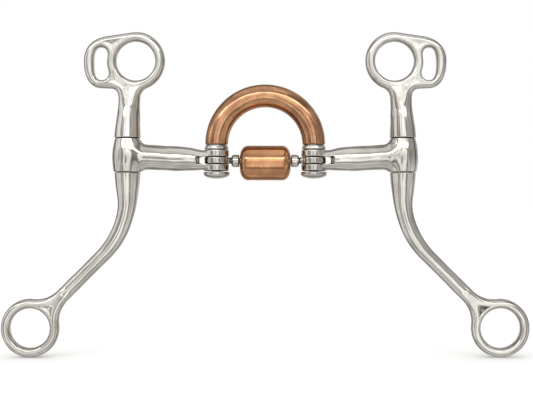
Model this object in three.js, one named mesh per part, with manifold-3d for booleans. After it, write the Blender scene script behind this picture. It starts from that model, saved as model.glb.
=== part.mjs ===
// Loose-cheek curb bit: two steel shanks swivel in the ends of two steel cannons, which hinge on
// vertical pins at the feet of a copper port, and a copper roller turns on a bar below the port.
// Millimetres. +X across the mouth, +Z up the cheeks, Y through the flat of the bit.
// The origin is midway between the two hinge pins, at the height of the roller bar.

import * as THREE from 'three';
import { mergeVertices } from 'three/addons/utils/BufferGeometryUtils.js';
import Module from 'manifold-3d';

const wasm = await Module();
wasm.setup();

// ---- driving dimensions -------------------------------------------------------------------

const GAP = 0.3; // clearance between neighbouring pieces

const MOUTH_WIDTH = 127; // between the inner faces of the two sleeves
const HINGE_X = 24.9; // hinge pins, each side of the middle
const SLEEVE_BORE_WALL = 7.1; // sleeve axis to its inner face
const SWIVEL_X = MOUTH_WIDTH / 2 + SLEEVE_BORE_WALL;

const PIN_R = 2.2;
const PIN_HEAD_R = 6.7;
const PIN_HEAD_RIM = 1.1;
const PIN_HEAD_DOME = 2.4;
const EYE_R = 6.2;
const EYE_THICKNESS = 3.4;
const EAR_R = 6.4;
const EAR_THICKNESS = 3.4;
const COLLAR_THICKNESS = 2.2;
const COLLAR_TOP_R = 5.7;
const COLLAR_R = 6.3;

const PORT_TUBE_R = 5.9;
const PORT_R = HINGE_X; // centre line of the arch
const PORT_PIN_DEPTH = 7.6; // the pin's reach into the foot of the port

const BAR_R = 1.42;
const BAR_Z = -0.25; // the bar runs a little below the middle of its eyes
const STOP_R = 3.2; // axle collars, each side of the roller
const STOP_OUTER_X = 17.3;
const STOP_INNER_X = 13.35;
const ROLLER_HALF = 13.05;
const ROLLER_R = 8.95;
const ROLLER_END_R = 3.3;
const ROLLER_SHOULDER = 4.3; // length of each rounded end
const ROLLER_PLAY = 1.35; // bore radius over bar radius
const ROLLER_Z = BAR_Z - ROLLER_PLAY + GAP; // the loose roller hangs on its bar

const SLEEVE_TOP = 11.3;
const SLEEVE_BOTTOM = -5.95;
const SPINDLE_R = 4.0;
const SPINDLE_SOCKET = 5.5; // reach into the cheek above and the shank below
const SLOT_REACH = 10.2; // fork slot, from the pin's axis

const CHEEK_THICKNESS = 6.4;
const CHEEK_EDGE = 1.5; // bevel round the plate and its openings
const CHEEK_SEAM_R = 6.8;
const HOLE_SET_IN = 4.3; // headstall ring's centre, inboard of the swivel
const HOLE_Z = 50.9;
const HOLE_R = 9.9;
const RING_R = 15.0;

const SHANK_SEAM_R = 6.7;
const BEND_START_Z = -18;
const BEND_R = 43.5;
const BEND_ANGLE = Math.PI / 4;
const REIN_RING_SET_OUT = 49.9; // rein ring's centre, outboard of the swivel
const REIN_HOLE_R = 10.1;
const REIN_RING_R = 15;
const REIN_THICKNESS = 6.2;
const REIN_EDGE = 1.5;

// worked out from the above
const SLOT_HALF = EYE_THICKNESS / 2 + GAP;
const EAR_OUTER_Z = SLOT_HALF + EAR_THICKNESS;
const COLLAR_Z = EAR_OUTER_Z + GAP;
const PORT_FOOT_Z = COLLAR_Z + COLLAR_THICKNESS + GAP;
const HEAD_Z = -EAR_OUTER_Z - 0.5;
const PIN_BORE_R = PIN_R + GAP;
const CHEEK_BOTTOM = SLEEVE_TOP + GAP;
const SHANK_TOP = SLEEVE_BOTTOM - GAP;
const BEND_DROP = BEND_R * Math.tan(BEND_ANGLE / 2);
const REIN_RING_Z = BEND_START_Z - BEND_DROP - REIN_RING_SET_OUT;

// facets
const ROUND = 28;
const SMALL_ROUND = 16;
const LOFT_SIDES = 16;
const CURVE_STEPS = 10; // on each arc of a plate's outline
const SHOULDER_STEPS = 5;

// ---- materials ----------------------------------------------------------------------------

const steel = new THREE.MeshStandardMaterial({ color: 0xc9c7c2, roughness: 0.16, metalness: 1 });
const pinSteel = new THREE.MeshStandardMaterial({ color: 0xb9b8b4, roughness: 0.24, metalness: 1 });
const copper = new THREE.MeshStandardMaterial({ color: 0xb4683c, roughness: 0.22, metalness: 1 });

// ---- solids -------------------------------------------------------------------------------

// A closed geometry becomes a solid that can be joined and cut.
function solidOf(geometry) {
  const bare = geometry.clone();
  bare.deleteAttribute('normal');
  bare.deleteAttribute('uv');
  const merged = mergeVertices(bare, 1e-4);
  return new wasm.Manifold(new wasm.Mesh({
    numProp: 3,
    vertProperties: new Float32Array(merged.attributes.position.array),
    triVerts: new Uint32Array(merged.index.array),
  }));
}

function geometryOf(solid) {
  const mesh = solid.getMesh();
  const geometry = new THREE.BufferGeometry();
  geometry.setAttribute('position', new THREE.BufferAttribute(new Float32Array(mesh.vertProperties), 3));
  geometry.setIndex(new THREE.BufferAttribute(new Uint32Array(mesh.triVerts), 1));
  geometry.computeVertexNormals();
  return geometry;
}

// Turned about Z from [radius, z] points that run upwards, starting and ending on the axis.
function turned(profile, sides = ROUND) {
  const points = profile.map(([r, z]) => new THREE.Vector2(r, z));
  return new THREE.LatheGeometry(points, sides).rotateX(Math.PI / 2);
}

// A plain round rod about Z.
function rod(radius, low, high, sides = SMALL_ROUND) {
  return turned([[0, low], [radius, low], [radius, high], [0, high]], sides);
}

// A flat outline in X and Z, bevelled on both faces and centred on Y = 0.
function plate(shape, thickness, edge) {
  const geometry = new THREE.ExtrudeGeometry(shape, {
    depth: thickness - 2 * edge,
    bevelThickness: edge,
    bevelSize: edge,
    bevelOffset: -edge,
    bevelSegments: 1,
    curveSegments: CURVE_STEPS,
  });
  return geometry.translate(0, 0, edge - thickness / 2).rotateX(Math.PI / 2);
}

// Oval rings joined into one skin. Each ring has a centre, two half-width directions, and is closed
// at the first and last by a flat fan.
function loft(rings, sides = LOFT_SIDES) {
  const positions = [];
  const indices = [];
  for (const { centre, across, through } of rings) {
    for (let i = 0; i < sides; i++) {
      const angle = (2 * Math.PI * i) / sides;
      const point = centre.clone()
        .addScaledVector(across, Math.cos(angle))
        .addScaledVector(through, Math.sin(angle));
      positions.push(...point);
    }
  }
  for (let ring = 0; ring + 1 < rings.length; ring++) {
    for (let i = 0; i < sides; i++) {
      const a = ring * sides + i;
      const b = ring * sides + ((i + 1) % sides);
      indices.push(a, b, a + sides, b, b + sides, a + sides);
    }
  }
  for (const end of [0, rings.length - 1]) {
    const middle = positions.length / 3;
    positions.push(...rings[end].centre);
    for (let i = 0; i < sides; i++) {
      const a = end * sides + i;
      const b = end * sides + ((i + 1) % sides);
      indices.push(...(end === 0 ? [middle, b, a] : [middle, a, b]));
    }
  }
  const geometry = new THREE.BufferGeometry();
  geometry.setAttribute('position', new THREE.Float32BufferAttribute(positions, 3));
  geometry.setIndex(indices);
  return geometry;
}

// ---- middle: port, roller and bar ---------------------------------------------------------

// A half circle of round copper bar with a blind hole up each foot for the hinge pin.
function copperPort() {
  const section = new THREE.Shape();
  section.absarc(0, 0, PORT_TUBE_R, 0, 2 * Math.PI);
  class Arch extends THREE.Curve {
    getPoint(t, target = new THREE.Vector3()) {
      const angle = Math.PI * (1 - t);
      return target.set(PORT_R * Math.cos(angle), 0, PORT_FOOT_Z + PORT_R * Math.sin(angle));
    }
  }
  const arch = new THREE.ExtrudeGeometry(section, {
    steps: ROUND, extrudePath: new Arch(), bevelEnabled: false, curveSegments: SMALL_ROUND / 2,
  });
  let solid = solidOf(arch);
  for (const side of [-1, 1]) {
    const bore = rod(PIN_BORE_R, PORT_FOOT_Z - 1, PORT_FOOT_Z + PORT_PIN_DEPTH + GAP);
    solid = solid.subtract(solidOf(bore.translate(side * HINGE_X, 0, 0)));
  }
  return geometryOf(solid);
}

// A barrel with elliptical shoulders and a loose bore, turned about X.
function copperRoller() {
  const bore = BAR_R + ROLLER_PLAY;
  const shoulder = [];
  for (let i = 0; i <= SHOULDER_STEPS; i++) {
    const angle = (Math.PI / 2) * (i / SHOULDER_STEPS);
    shoulder.push([
      ROLLER_END_R + (ROLLER_R - ROLLER_END_R) * Math.sin(angle),
      ROLLER_HALF - ROLLER_SHOULDER * (1 - Math.cos(angle)),
    ]);
  }
  const lower = shoulder.map(([r, z]) => [r, -z]);
  const upper = [...shoulder].reverse();
  const profile = [[bore, -ROLLER_HALF], ...lower, ...upper, [bore, ROLLER_HALF], [bore, -ROLLER_HALF]];
  return turned(profile).rotateY(Math.PI / 2);
}

function axleCollar() {
  const chamfer = 0.8;
  const bore = BAR_R + GAP;
  const ring = turned([
    [bore, STOP_INNER_X],
    [STOP_R - chamfer / 2, STOP_INNER_X],
    [STOP_R, STOP_INNER_X + chamfer / 2],
    [STOP_R, STOP_OUTER_X - chamfer],
    [STOP_R - chamfer, STOP_OUTER_X],
    [bore, STOP_OUTER_X],
    [bore, STOP_INNER_X],
  ], SMALL_ROUND);
  return ring.rotateY(Math.PI / 2);
}

function rollerAxle() {
  const half = (STOP_INNER_X + STOP_OUTER_X) / 2 - GAP / 2;
  return rod(BAR_R, -half, half).rotateY(Math.PI / 2);
}

// ---- hinge stack, about the pin's axis, outboard along +X ----------------------------------

function portCollar() {
  const edge = 0.5;
  return turned([
    [PIN_BORE_R, COLLAR_Z],
    [COLLAR_R - edge / 2, COLLAR_Z],
    [COLLAR_R, COLLAR_Z + edge],
    [COLLAR_TOP_R, COLLAR_Z + COLLAR_THICKNESS],
    [PIN_BORE_R, COLLAR_Z + COLLAR_THICKNESS],
    [PIN_BORE_R, COLLAR_Z],
  ]);
}

// A shank and a flat-topped, domed head in one piece.
function hingePin() {
  const dome = [];
  for (let i = 0; i <= SHOULDER_STEPS; i++) {
    const angle = (Math.PI / 2) * (i / SHOULDER_STEPS);
    dome.push([
      PIN_HEAD_R * Math.sin(angle),
      HEAD_Z - PIN_HEAD_RIM - PIN_HEAD_DOME * Math.cos(angle),
    ]);
  }
  const top = PORT_FOOT_Z + PORT_PIN_DEPTH;
  const rim = 0.4;
  return turned([
    ...dome,
    [PIN_HEAD_R, HEAD_Z - rim],
    [PIN_HEAD_R - rim, HEAD_Z],
    [PIN_R, HEAD_Z],
    [PIN_R, top - rim],
    [PIN_R - rim, top],
    [0, top],
  ]);
}

// A forged eye on the pin, whose neck runs inboard into the axle collar.
function barEye() {
  const edge = 0.35;
  const half = EYE_THICKNESS / 2;
  const disc = turned([
    [0, -half], [EYE_R - edge, -half], [EYE_R, edge - half],
    [EYE_R, half - edge], [EYE_R - edge, half], [0, half],
  ]);
  const neckEnd = HINGE_X - (STOP_INNER_X + STOP_OUTER_X) / 2 - GAP / 2;
  const rootX = EYE_R - 1;
  const neck = rod(BAR_R, rootX, neckEnd).rotateY(-Math.PI / 2).translate(0, 0, BAR_Z);
  const solid = solidOf(disc).add(solidOf(neck));
  return geometryOf(solid.subtract(solidOf(rod(PIN_BORE_R, -EYE_R, EYE_R))));
}

// ---- cannon: fork, bar and sleeve, about the pin's axis, outboard along +X ------------------

function cannon() {
  const sleeveX = SWIVEL_X - HINGE_X;
  // [distance from the pin, centre height, half height, half depth]
  const sections = [
    [1, 0, 4.6, 5.2],
    [7.5, 0.2, 5.2, 5.7],
    [14, 0.7, 6.0, 6.2],
    [22, 1.0, 6.4, 6.4],
    [30, 1.4, 6.4, 6.4],
    [36, 1.7, 6.5, 6.3],
    [38.4, 2.1, 7.2, 6.4],
    [40, 2.6, 8.4, 6.6],
    [sleeveX, 2.65, 8.5, 6.6],
  ];
  const bar = loft(sections.map(([x, z, height, depth]) => ({
    centre: new THREE.Vector3(x, 0, z),
    across: new THREE.Vector3(0, depth, 0),
    through: new THREE.Vector3(0, 0, height),
  })));
  const barrel = turned([
    [0, SLEEVE_BOTTOM],
    [6.7, SLEEVE_BOTTOM],
    [7.05, SLEEVE_BOTTOM + 0.5],
    [7.6, -2.2],
    [7.8, 1.2],
    [7.6, 4.8],
    [7.1, 8.2],
    [6.6, SLEEVE_TOP - 0.6],
    [6.2, SLEEVE_TOP],
    [0, SLEEVE_TOP],
  ]).translate(sleeveX, 0, 0);
  const edge = 0.5;
  const boss = turned([
    [0, -EAR_OUTER_Z],
    [EAR_R - edge, -EAR_OUTER_Z],
    [EAR_R, edge - EAR_OUTER_Z],
    [EAR_R, EAR_OUTER_Z - edge],
    [EAR_R - edge, EAR_OUTER_Z],
    [0, EAR_OUTER_Z],
  ]);
  const slotLength = SLOT_REACH + 2 * EAR_R;
  const slot = new THREE.BoxGeometry(slotLength, 4 * EAR_R, 2 * SLOT_HALF)
    .translate(SLOT_REACH - slotLength / 2, 0, 0);
  const solid = solidOf(bar)
    .add(solidOf(barrel))
    .add(solidOf(boss))
    .subtract(solidOf(slot))
    .subtract(solidOf(rod(PIN_BORE_R, -2 * EAR_OUTER_Z, 2 * EAR_OUTER_Z)))
    .subtract(solidOf(rod(SPINDLE_R + GAP, SLEEVE_BOTTOM - 1, SLEEVE_TOP + 1).translate(sleeveX, 0, 0)));
  return geometryOf(solid);
}

// ---- cheek and shank, about the swivel's axis, outboard along +X ---------------------------

function swivelSpindle() {
  return rod(SPINDLE_R, SHANK_TOP - SPINDLE_SOCKET, CHEEK_BOTTOM + SPINDLE_SOCKET);
}

// The headstall ring with the curb-strap lobe beside it, drawn about the ring's centre.
function cheekOutline() {
  const shape = new THREE.Shape();
  const start = THREE.MathUtils.degToRad(-116);
  const finish = THREE.MathUtils.degToRad(98);
  shape.moveTo(-1.6, -19.9);
  shape.bezierCurveTo(-1.9, -16.8, -3.4, -14.6, RING_R * Math.cos(start), RING_R * Math.sin(start));
  shape.absarc(0, 0, RING_R, start, finish, true);
  shape.lineTo(14.8, 12.8);
  shape.bezierCurveTo(22.2, 11.7, 26.7, 7.2, 26.7, 0);
  shape.bezierCurveTo(26.7, -8, 23.6, -13.9, 17.6, -13.9);
  shape.lineTo(12.4, -14.2);
  shape.bezierCurveTo(9.6, -14.5, 8.2, -16.6, 8.2, -19.9);
  shape.closePath();

  const hole = new THREE.Path();
  hole.absarc(0, 0, HOLE_R, 0, 2 * Math.PI, false);
  shape.holes.push(hole);

  // bean-shaped slot that follows the ring's curve on its inner side
  const slot = new THREE.Path();
  slot.moveTo(21.3, -1.4);
  slot.bezierCurveTo(21.3, 4.6, 20.4, 6.9, 17.7, 6.9);
  slot.bezierCurveTo(15.2, 6.9, 14.2, 4.8, 14.5, 2.4);
  slot.bezierCurveTo(14.9, -0.6, 14.9, -2.2, 14.2, -4.4);
  slot.bezierCurveTo(13.2, -7.2, 14.6, -9.7, 17.4, -9.7);
  slot.bezierCurveTo(20.4, -9.7, 21.3, -7, 21.3, -1.4);
  shape.holes.push(slot);
  return shape;
}

function upperCheek() {
  const flat = plate(cheekOutline(), CHEEK_THICKNESS, CHEEK_EDGE)
    .translate(-HOLE_SET_IN, 0, HOLE_Z);
  // [height, centre outboard, half width, half depth]
  const sections = [
    [CHEEK_BOTTOM, 0, CHEEK_SEAM_R - 0.4, CHEEK_SEAM_R - 0.4],
    [CHEEK_BOTTOM + 0.4, 0, CHEEK_SEAM_R, CHEEK_SEAM_R],
    [16, -0.1, 6.5, 6.35],
    [21.8, -0.4, 5.9, 5.5],
    [27, -0.7, 5.25, 4.55],
    [32, -0.95, 4.95, 3.7],
    [37.5, -1, 4.9, 3.1],
  ];
  const neck = loft(sections.map(([z, x, width, depth]) => ({
    centre: new THREE.Vector3(x, 0, z),
    across: new THREE.Vector3(width, 0, 0),
    through: new THREE.Vector3(0, depth, 0),
  })));
  const socket = rod(SPINDLE_R + GAP, CHEEK_BOTTOM - 1, CHEEK_BOTTOM + SPINDLE_SOCKET + GAP);
  return geometryOf(solidOf(flat).add(solidOf(neck)).subtract(solidOf(socket)));
}

// The shank's centre line: straight down, round a bend, then straight out to the rein ring.
function shankPoint(distance) {
  const straight = SHANK_TOP - BEND_START_Z;
  const bend = BEND_R * BEND_ANGLE;
  if (distance < straight) {
    return { point: new THREE.Vector3(0, 0, SHANK_TOP - distance), angle: 0 };
  }
  const angle = Math.min((distance - straight) / BEND_R, BEND_ANGLE);
  const past = Math.max(distance - straight - bend, 0);
  const point = new THREE.Vector3(
    BEND_R * (1 - Math.cos(angle)) + past * Math.sin(angle), 0,
    BEND_START_Z - BEND_R * Math.sin(angle) - past * Math.cos(angle),
  );
  return { point, angle };
}

// The ring, widening into the shank through two hollow curves. +Y of the outline meets the shank.
function reinRingOutline(reach, shankHalf) {
  const flank = THREE.MathUtils.degToRad(90 - 33);
  const [touchX, touchY] = [REIN_RING_R * Math.cos(flank), REIN_RING_R * Math.sin(flank)];
  const lean = 5.5; // length of the curve handles
  const shape = new THREE.Shape();
  shape.moveTo(-shankHalf, reach);
  shape.bezierCurveTo(
    -shankHalf, reach - lean,
    -touchX + lean * Math.sin(flank), touchY + lean * Math.cos(flank), -touchX, touchY,
  );
  shape.absarc(0, 0, REIN_RING_R, Math.PI - flank, 2 * Math.PI + flank, false);
  shape.bezierCurveTo(
    touchX - lean * Math.sin(flank), touchY + lean * Math.cos(flank),
    shankHalf, reach - lean, shankHalf, reach,
  );
  shape.closePath();
  const hole = new THREE.Path();
  hole.absarc(0, 0, REIN_HOLE_R, 0, 2 * Math.PI, true);
  shape.holes.push(hole);
  return shape;
}

function lowerShank() {
  // [distance down the centre line, half width, half depth]
  const sizes = [
    [0, SHANK_SEAM_R - 0.4, SHANK_SEAM_R - 0.4],
    [0.4, SHANK_SEAM_R, SHANK_SEAM_R],
    [5, 6.25, 6.1],
    [10.5, 5.55, 5.2],
    [15, 4.95, 4.55],
    [20, 4.5, 4.1],
    [25, 4.3, 3.8],
    [30, 4.2, 3.65],
    [35, 4.1, 3.5],
    [40, 3.95, 3.45],
    [46, 3.7, 3.35],
    [55, 3.6, 3.25],
    [70, 3.65, 3.15],
    [82, 3.75, 3.1],
  ];
  const bar = loft(sizes.map(([distance, width, depth]) => {
    const { point, angle } = shankPoint(distance);
    return {
      centre: point,
      across: new THREE.Vector3(-Math.cos(angle), 0, -Math.sin(angle)).multiplyScalar(width),
      through: new THREE.Vector3(0, depth, 0),
    };
  }));
  const ring = plate(reinRingOutline(23, 3.7), REIN_THICKNESS, REIN_EDGE)
    .rotateY(-BEND_ANGLE)
    .translate(REIN_RING_SET_OUT, 0, REIN_RING_Z);
  const socket = rod(SPINDLE_R + GAP, SHANK_TOP - SPINDLE_SOCKET - GAP, SHANK_TOP + 1);
  return geometryOf(solidOf(bar).add(solidOf(ring)).subtract(solidOf(socket)));
}

// ---- assembly -----------------------------------------------------------------------------

function piece(name, geometry, material, parent) {
  const mesh = new THREE.Mesh(geometry, material);
  mesh.name = name;
  parent.add(mesh);
  return mesh;
}

const bit = new THREE.Group();

piece('copper_port', copperPort(), copper, bit);
piece('copper_roller', copperRoller(), copper, bit).position.z = ROLLER_Z;
piece('roller_axle', rollerAxle(), pinSteel, bit).position.z = BAR_Z;

// The bit is the same front and back, so the left side is the right side turned half round.
for (const [side, turn] of [['right', 0], ['left', Math.PI]]) {
  const half = new THREE.Group();
  half.rotation.z = turn;
  bit.add(half);
  piece(`${side}_axle_collar`, axleCollar(), steel, half).position.z = BAR_Z;

  const hinge = new THREE.Group();
  hinge.position.x = HINGE_X;
  half.add(hinge);
  piece(`${side}_port_collar`, portCollar(), steel, hinge);
  piece(`${side}_hinge_pin`, hingePin(), pinSteel, hinge);
  piece(`${side}_bar_eye`, barEye(), steel, hinge);
  piece(`${side}_cannon`, cannon(), steel, hinge);

  const swivel = new THREE.Group();
  swivel.position.x = SWIVEL_X;
  half.add(swivel);
  piece(`${side}_swivel_spindle`, swivelSpindle(), pinSteel, swivel);
  piece(`${side}_upper_cheek`, upperCheek(), steel, swivel);
  piece(`${side}_lower_shank`, lowerShank(), steel, swivel);
}

export default bit;
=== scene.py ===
"""The looks of a loose-cheek curb bit with a copper port and roller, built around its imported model.

Shapes are worked out in millimetres, beside the axis they turn on, with +X outboard on the right-hand
side. The left-hand side is the right-hand side turned half round. Blender gets them in metres.
"""

import math

import bpy
import numpy as np
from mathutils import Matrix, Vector
from mathutils.bvhtree import BVHTree


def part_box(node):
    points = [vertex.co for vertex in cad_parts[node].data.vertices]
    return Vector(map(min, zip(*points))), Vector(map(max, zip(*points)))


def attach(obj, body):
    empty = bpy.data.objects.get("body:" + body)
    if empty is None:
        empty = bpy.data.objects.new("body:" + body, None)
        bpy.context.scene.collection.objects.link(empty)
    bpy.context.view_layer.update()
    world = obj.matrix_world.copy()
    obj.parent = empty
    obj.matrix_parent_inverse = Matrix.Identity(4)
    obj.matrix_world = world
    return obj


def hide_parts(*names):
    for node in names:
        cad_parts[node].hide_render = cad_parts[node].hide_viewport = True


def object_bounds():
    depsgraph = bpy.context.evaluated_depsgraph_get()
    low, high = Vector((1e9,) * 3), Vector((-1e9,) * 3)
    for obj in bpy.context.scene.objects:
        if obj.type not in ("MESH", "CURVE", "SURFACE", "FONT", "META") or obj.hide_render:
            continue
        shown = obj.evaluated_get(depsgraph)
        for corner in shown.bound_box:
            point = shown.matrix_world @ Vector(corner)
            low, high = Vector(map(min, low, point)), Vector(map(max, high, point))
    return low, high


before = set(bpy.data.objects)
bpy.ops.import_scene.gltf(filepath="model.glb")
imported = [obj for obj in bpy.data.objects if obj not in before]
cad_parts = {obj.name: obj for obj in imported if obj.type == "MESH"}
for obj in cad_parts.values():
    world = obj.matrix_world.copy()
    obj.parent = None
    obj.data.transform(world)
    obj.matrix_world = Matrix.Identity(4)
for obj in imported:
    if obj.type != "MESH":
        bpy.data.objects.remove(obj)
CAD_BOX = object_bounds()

MM = 0.001


def span(node):
    """The lowest and highest corner of a CAD node, in millimetres."""
    low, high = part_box(node)
    return np.array(low) / MM, np.array(high) / MM


# ---- sizes taken from the frame ---------------------------------------------------------------

PIN_LOW, PIN_HIGH = span("right_hinge_pin")
EYE_LOW, EYE_HIGH = span("right_bar_eye")
WASHER_LOW, WASHER_HIGH = span("right_port_collar")
PORT_LOW, PORT_HIGH = span("copper_port")
ROLLER_LOW, ROLLER_HIGH = span("copper_roller")
AXLE_LOW, AXLE_HIGH = span("roller_axle")
STOP_LOW, STOP_HIGH = span("right_axle_collar")
CANNON_LOW, CANNON_HIGH = span("right_cannon")
SPINDLE_LOW, SPINDLE_HIGH = span("right_swivel_spindle")
CHEEK_LOW, CHEEK_HIGH = span("right_upper_cheek")
SHANK_LOW, SHANK_HIGH = span("right_lower_shank")

HINGE_X = (PIN_LOW[0] + PIN_HIGH[0]) / 2
SWIVEL_X = (SPINDLE_LOW[0] + SPINDLE_HIGH[0]) / 2
REACH = SWIVEL_X - HINGE_X  # from the hinge pin to the sleeve's axis
BAR_R = (AXLE_HIGH[2] - AXLE_LOW[2]) / 2
BAR_Z = (AXLE_HIGH[2] + AXLE_LOW[2]) / 2
SLEEVE_BOTTOM = CANNON_LOW[2]
SLEEVE_TOP = CANNON_HIGH[2]
CHEEK_BOTTOM = CHEEK_LOW[2]
SHANK_TOP = SHANK_HIGH[2]

# ---- sizes of the details ---------------------------------------------------------------------

GAP = 0.3  # clearance between neighbouring pieces
PIN_R = 2.2
PIN_HEAD_RIM = 1.1  # height of the upright rim of the pin's head
PIN_HEAD_GAP = 0.5  # between that head and the fork
EAR_R = 6.4  # the two ears of the cannon's fork
EAR_OUTER_Z = 5.4
SLOT_HALF = 2.0  # half the height of the slot between the ears
SLOT_REACH = 10.2  # from the pin to the slot's end
SLOT_SIDE_DRAFT = 0.12  # slope of its walls towards the middle, past the eye
SLOT_END_DRAFT = 0.25
EYE_R = 6.2
EYE_HALF = 1.7
EYE_FLARE = 0.95  # how much the eye's neck thickens where it meets the disc
EYE_FLARE_LENGTH = 2.6
PORT_BAR_R = (PORT_HIGH[1] - PORT_LOW[1]) / 2
PORT_PIN_DEPTH = 7.9
SPINDLE_R = (SPINDLE_HIGH[0] - SPINDLE_LOW[0]) / 2
SOCKET_DEPTH = 5.8

HOLE_SET_IN = 4.3  # headstall ring's centre, inboard of the swivel
HOLE_Z = 50.9
HOLE_R = 9.9
RING_R = 15.0
CHEEK_HALF = 3.2  # half the thickness of the cheek's rims
NECK_TOP = HOLE_Z - HOLE_R - 2.2

BEND_START_Z = -18.0  # the shank hangs straight down to here
BEND_R = 43.5
BEND_ANGLE = math.pi / 4
REIN_SET_OUT = 49.9  # rein ring's centre, outboard of the swivel
REIN_Z = BEND_START_Z - BEND_R * math.tan(BEND_ANGLE / 2) - REIN_SET_OUT
REIN_HOLE_R = 10.1
REIN_RING_R = 15.0
REIN_HALF = 3.1
SHANK_END = 22.0  # where the shank's bar runs out into the ring, from the ring's centre

# How wide a band each rounded edge and fillet takes up.
CHEEK_EDGE = 3.0
HOLE_EDGE = 1.9
STRAP_SLOT_EDGE = 1.6
NECK_FILLET = 2.4
NECK_TOP_FILLET = 4.0
REIN_EDGE = 2.9
REIN_HOLE_EDGE = 2.0
SHANK_END_FILLET = 3.0
REIN_FILLET = 0.3
SLEEVE_FILLET = 3.2
EAR_EDGE = 0.8
EAR_FILLET = 0.8
FORK_SLOT_EDGE = 0.7
EYE_EDGE = 0.8
JOINT_EDGE = 0.5  # where sleeve, cheek and shank meet
BORE_EDGE = 0.3
SLEEVE_BORE_EDGE = 0.4
BAR_END_EDGE = 1.0
EYE_NECK_EDGE = 0.5

# The raised rims of the cheek: how far each lies from its edge, and how wide it is.
HOLE_CREST = 2.0, 1.8
STRAP_SLOT_CREST = 1.7, 1.5
OUTER_CREST = 2.2, 1.7

# Height of the waves that polishing by hand leaves.
CHEEK_WAVE = 0.012
SHANK_WAVE = 0.014
CANNON_WAVE = 0.026
WASHER_WAVE = 0.16

CELL = 0.36  # size of a face on the cast pieces
EYE_CELL = 0.24
RELAXING = 0.6, 0.6, 0.3  # how strongly each round evens the faces out
SETTLE_STEP = 0.02  # to measure a field's slope over
NORMAL_STEP = 0.1
TURNED_SIDES = 96
ARC_STEPS = 6  # on each small rounded edge


# ---- curves and outlines ----------------------------------------------------------------------

def bezier(start, first, second, end, steps=14):
    """Points on a cubic curve, without its last one."""
    t = np.linspace(0, 1, steps, endpoint=False)[:, None]
    start, first, second, end = (np.array(p, float) for p in (start, first, second, end))
    return (start * (1 - t) ** 3 + 3 * first * t * (1 - t) ** 2
            + 3 * second * t ** 2 * (1 - t) + end * t ** 3)


def arc(radius, start, finish, steps=48):
    """Points on a circle about the origin, without the last one. Angles in degrees."""
    angles = np.radians(np.linspace(start, finish, steps, endpoint=False))
    return np.column_stack([radius * np.cos(angles), radius * np.sin(angles)])


def on_circle(radius, degrees):
    """The point on a circle about the origin at that angle."""
    return radius * math.cos(math.radians(degrees)), radius * math.sin(math.radians(degrees))


def cheek_outline():
    """The headstall ring with the curb-strap lobe beside it, about the ring's centre."""
    start, finish = -116, 108  # where the ring's own edge begins and ends, going round
    return np.vstack([
        bezier((2.9, -31), (-0.2, -27.5), (-1.4, -23.4), (-1.6, -19.9)),  # buried in the neck
        bezier((-1.6, -19.9), (-1.8, -16.8), (-3.4, -14.6), on_circle(RING_R, start)),
        arc(RING_R, start + 360, finish),
        bezier(on_circle(RING_R, finish), (-2.9, 14.85), (-0.6, 15.05), (2.5, 14.65)),
        [(2.5, 14.65)],
        bezier((14.8, 12.8), (22.2, 11.7), (26.7, 7.2), (26.7, 0)),
        bezier((26.7, 0), (26.7, -8), (23.6, -13.9), (17.6, -13.9)),
        [(17.6, -13.9)],
        bezier((12.4, -14.2), (9.6, -14.5), (8.4, -16.6), (8.2, -19.9)),
        bezier((8.2, -19.9), (8.0, -23.4), (7.2, -27.5), (4.9, -31)),
        [(4.9, -31)],
    ])


def slot_outline():
    """The curb-strap slot, whose inner side follows the headstall ring."""
    return np.vstack([
        bezier((21.3, -1.4), (21.3, 4.6), (20.4, 6.9), (17.7, 6.9)),
        bezier((17.7, 6.9), (15.2, 6.9), (14.2, 4.8), (14.5, 2.4)),
        bezier((14.5, 2.4), (14.9, -0.6), (14.9, -2.2), (14.2, -4.4)),
        bezier((14.2, -4.4), (13.2, -7.2), (14.6, -9.7), (17.4, -9.7)),
        bezier((17.4, -9.7), (20.4, -9.7), (21.3, -7), (21.3, -1.4)),
    ])


def rein_outline():
    """The rein ring, widening into the shank. +Y of the outline meets the shank."""
    reach, half = 31.5, 3.55  # how far up the shank it is as wide as the shank
    flank, lean = 90 - 39.5, 8.7  # where the fillet leaves the ring, and how softly
    tip, tip_half = 40.0, 0.8  # the end buried in the shank
    touch_x, touch_y = on_circle(REIN_RING_R, flank)
    lean_x, lean_y = on_circle(lean, 90 - flank)
    return np.vstack([
        bezier((-tip_half, tip), (-half + 0.6, tip - 4), (-half, reach + 4), (-half, reach)),
        bezier((-half, reach), (-half, reach - lean), (lean_x - touch_x, touch_y + lean_y),
               (-touch_x, touch_y)),
        arc(REIN_RING_R, 180 - flank, 360 + flank, 72),
        bezier((touch_x, touch_y), (touch_x - lean_x, touch_y + lean_y), (half, reach - lean),
               (half, reach)),
        bezier((half, reach), (half, reach + 4), (half - 0.6, tip - 4), (tip_half, tip)),
        [(tip_half, tip)],
    ])


def outline_distance(u, v, outline):
    """Signed distance to a closed outline, negative inside it."""
    u, v = np.broadcast_arrays(u, v)
    nearest = np.full(u.shape, np.inf)
    inside = np.zeros(u.shape, bool)
    for (ax, ay), (bx, by) in zip(outline, np.roll(outline, -1, axis=0)):
        dx, dy = bx - ax, by - ay
        length = dx * dx + dy * dy
        if length < 1e-12:
            continue
        t = np.clip(((u - ax) * dx + (v - ay) * dy) / length, 0, 1)
        nearest = np.minimum(nearest, (u - ax - t * dx) ** 2 + (v - ay - t * dy) ** 2)
        if dy:
            inside ^= ((ay > v) != (by > v)) & (u < dx * (v - ay) / dy + ax)
    return np.where(inside, -1, 1) * np.sqrt(nearest)


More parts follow.
